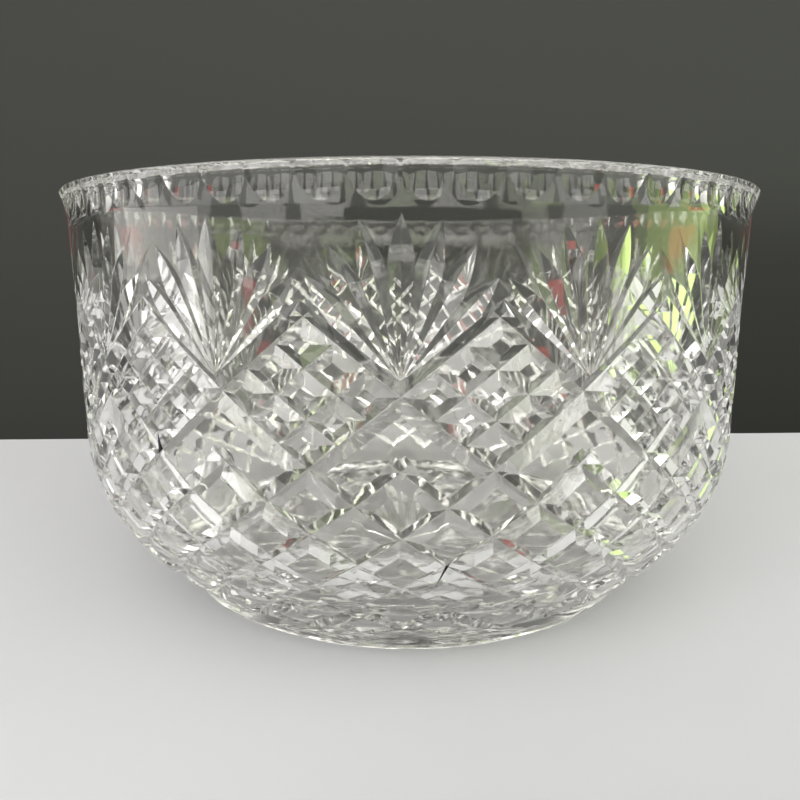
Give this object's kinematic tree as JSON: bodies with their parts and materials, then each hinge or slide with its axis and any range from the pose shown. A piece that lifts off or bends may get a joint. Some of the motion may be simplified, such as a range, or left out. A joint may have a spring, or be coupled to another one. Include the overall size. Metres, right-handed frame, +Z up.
{
  "type": "cut crystal punch bowl",
  "caption": "Deep round cut-glass bowl with steep sides, thumb-cut rim, fan rays above crossed mitres, a diamond lattice below and a plain foot band.",
  "frame": {"origin": "on the bowl's axis, at the flat ring that it stands on", "axes": "+Z up along the bowl's axis; -Y faces the viewer, with one fan centred on it"},
  "size_m": [0.2542, 0.2542, 0.143],
  "materials": {
    "crystal": "polished clear crystal"
  },
  "bodies": {
    "root": {"bowl": "crystal"}
  },
  "joints": []
}
